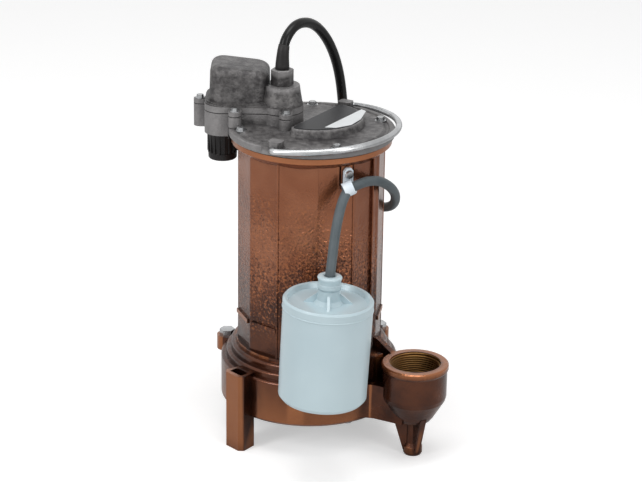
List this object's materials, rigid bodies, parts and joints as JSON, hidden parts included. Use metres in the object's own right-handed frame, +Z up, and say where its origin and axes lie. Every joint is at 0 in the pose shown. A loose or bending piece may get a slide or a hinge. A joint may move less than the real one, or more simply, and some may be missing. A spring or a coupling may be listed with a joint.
{
  "type": "submersible sump pump",
  "caption": "Upright submersible sump pump with a cast barrel on a legged volute, threaded discharge, folded wire bail, switch box, tethered float and a coiled power cord.",
  "frame": {"origin": "centre of the pump's footprint box on the floor, the free power cord left out", "axes": "+Z up along the motor shaft, -Y to the front, where the float hangs, +X to the discharge side"},
  "size_m": [0.2412, 0.4107, 0.3914],
  "materials": {
    "bronze_coat": "semi-gloss metallic bronze coat, fine orange peel, darker in the hollows",
    "plated_steel": "bright zinc plate",
    "steel": "ground steel",
    "grey_iron": "as cast",
    "impeller_plastic": "glass-filled plastic",
    "seal_carbon": "carbon face",
    "seal_ceramic": "lapped ceramic",
    "copper_winding": "varnished copper wire",
    "black_plastic": "moulded",
    "gasket_rubber": "moulded rubber",
    "dark_casting": "satin dark grey coat over a sand casting",
    "nylon": "pale natural nylon",
    "lead_jacket": "dull dark grey jacket",
    "float_plastic": "satin pale blue-grey moulding",
    "capsule_plastic": "moulded",
    "cord_jacket": "glossy black jacket",
    "tie_strap": "nylon strap",
    "brass": "bright brass"
  },
  "bodies": {
    "pump": {"casing_lug_bolts": "plated_steel", "clamp_screw": "plated_steel", "cord_clamp": "nylon", "cord_coil": "cord_jacket", "cord_tie": "tie_strap", "cover_gasket": "gasket_rubber", "cover_screws": "plated_steel", "discharge_socket": "bronze_coat", "float_lead": "lead_jacket", "float_lead_gland": "gasket_rubber", "gland_grommet": "gasket_rubber", "gland_nut": "dark_casting", "lower_bearing": "steel", "motor_housing": "bronze_coat", "nameplate": "black_plastic", "plug_blades": "brass", "plug_body": "cord_jacket", "port_boot": "gasket_rubber", "power_cord": "cord_jacket", "run_capacitor": "black_plastic", "shaft_seal_seat": "seal_ceramic", "start_relay": "black_plastic", "stator_core": "steel", "stator_windings": "copper_winding", "suction_plate": "grey_iron", "suction_plate_screws": "plated_steel", "switch_base": "dark_casting", "switch_box_gasket": "gasket_rubber", "switch_box_screws": "plated_steel", "switch_cover": "dark_casting", "thermal_protector": "black_plastic", "top_cover": "dark_casting", "upper_bearing": "steel", "upper_bearing_bridge": "grey_iron", "volute_casing": "bronze_coat"},
    "rotor": {"rotor_shaft": "steel", "rotor_core": "steel", "impeller": "impeller_plastic", "impeller_nut": "plated_steel", "shaft_seal_ring": "seal_carbon"},
    "bail": {"bail_handle": "plated_steel"},
    "float": {"float_body": "float_plastic", "float_cap": "float_plastic", "float_tether": "lead_jacket", "float_switch_capsule": "capsule_plastic"},
    "switch_ball": {"float_switch_ball": "plated_steel"}
  },
  "joints": [
    {"name": "rotor_spin", "type": "hinge", "parent": "pump", "child": "rotor", "pos_m": [-0.0095, 0.0325, 0.1], "axis": [0, 0, 1], "continuous": true},
    {"name": "bail_swing", "type": "hinge", "parent": "pump", "child": "bail", "pos_m": [-0.0095, 0.0325, 0.297], "axis": [-0.454, -0.891, 0], "range_deg": [0, 95]},
    {"name": "float_swing", "type": "hinge", "parent": "pump", "child": "float", "pos_m": [0.0245, -0.0425, 0.264], "axis": [-1, 0, 0], "range_deg": [0, 105]},
    {"name": "ball_roll", "type": "slide", "parent": "float", "child": "switch_ball", "axis": [0.0454, 0, 0.999], "range_m": [0, 0.015]}
  ]
}
